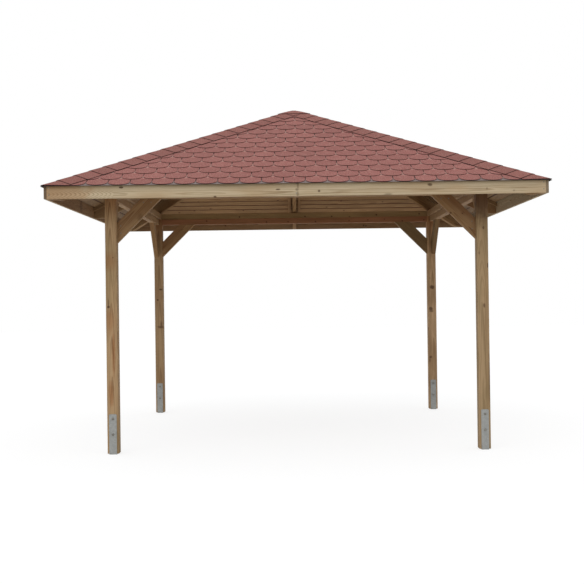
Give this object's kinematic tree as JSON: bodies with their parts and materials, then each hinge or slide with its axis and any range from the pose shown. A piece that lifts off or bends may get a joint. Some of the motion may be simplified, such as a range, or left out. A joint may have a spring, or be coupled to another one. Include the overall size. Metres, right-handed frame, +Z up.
{
  "type": "garden gazebo",
  "caption": "Open square timber garden gazebo with posts on steel anchors, braces and a shingled hip roof.",
  "frame": {"origin": "on the ground, midway between the four posts", "axes": "+Z up, front towards -Y, +X to the right of someone who faces the front"},
  "size_m": [3.868, 3.868, 2.9948],
  "materials": {
    "post_timber": "sawn, pressure treated",
    "roof_timber": "sawn, pressure treated",
    "deck_boards": "planed boards",
    "fascia_timber": "planed, pressure treated",
    "shingle_felt": "mineral granules on bitumen felt",
    "cap_felt": "mineral granules on bitumen felt",
    "galvanised_steel": "hot-dip galvanised"
  },
  "bodies": {
    "root": {"front_left_post": "post_timber", "front_left_anchor": "galvanised_steel", "front_left_braces": "post_timber", "front_left_hip_rafter": "roof_timber", "front_left_hip_cap": "cap_felt", "front_right_post": "post_timber", "front_right_anchor": "galvanised_steel", "front_right_braces": "post_timber", "front_right_hip_rafter": "roof_timber", "front_right_hip_cap": "cap_felt", "back_right_post": "post_timber", "back_right_anchor": "galvanised_steel", "back_right_braces": "post_timber", "back_right_hip_rafter": "roof_timber", "back_right_hip_cap": "cap_felt", "back_left_post": "post_timber", "back_left_anchor": "galvanised_steel", "back_left_braces": "post_timber", "back_left_hip_rafter": "roof_timber", "back_left_hip_cap": "cap_felt", "front_plate": "roof_timber", "front_beam": "roof_timber", "front_middle_rafter": "roof_timber", "front_deck": "deck_boards", "front_fascia": "fascia_timber", "front_shingles": "shingle_felt", "right_plate": "roof_timber", "right_beam": "roof_timber", "right_middle_rafter": "roof_timber", "right_deck": "deck_boards", "right_fascia": "fascia_timber", "right_shingles": "shingle_felt", "back_plate": "roof_timber", "back_beam": "roof_timber", "back_middle_rafter": "roof_timber", "back_deck": "deck_boards", "back_fascia": "fascia_timber", "back_shingles": "shingle_felt", "left_plate": "roof_timber", "left_beam": "roof_timber", "left_middle_rafter": "roof_timber", "left_deck": "deck_boards", "left_fascia": "fascia_timber", "left_shingles": "shingle_felt", "apex_block": "roof_timber", "apex_cap": "cap_felt"}
  },
  "joints": []
}
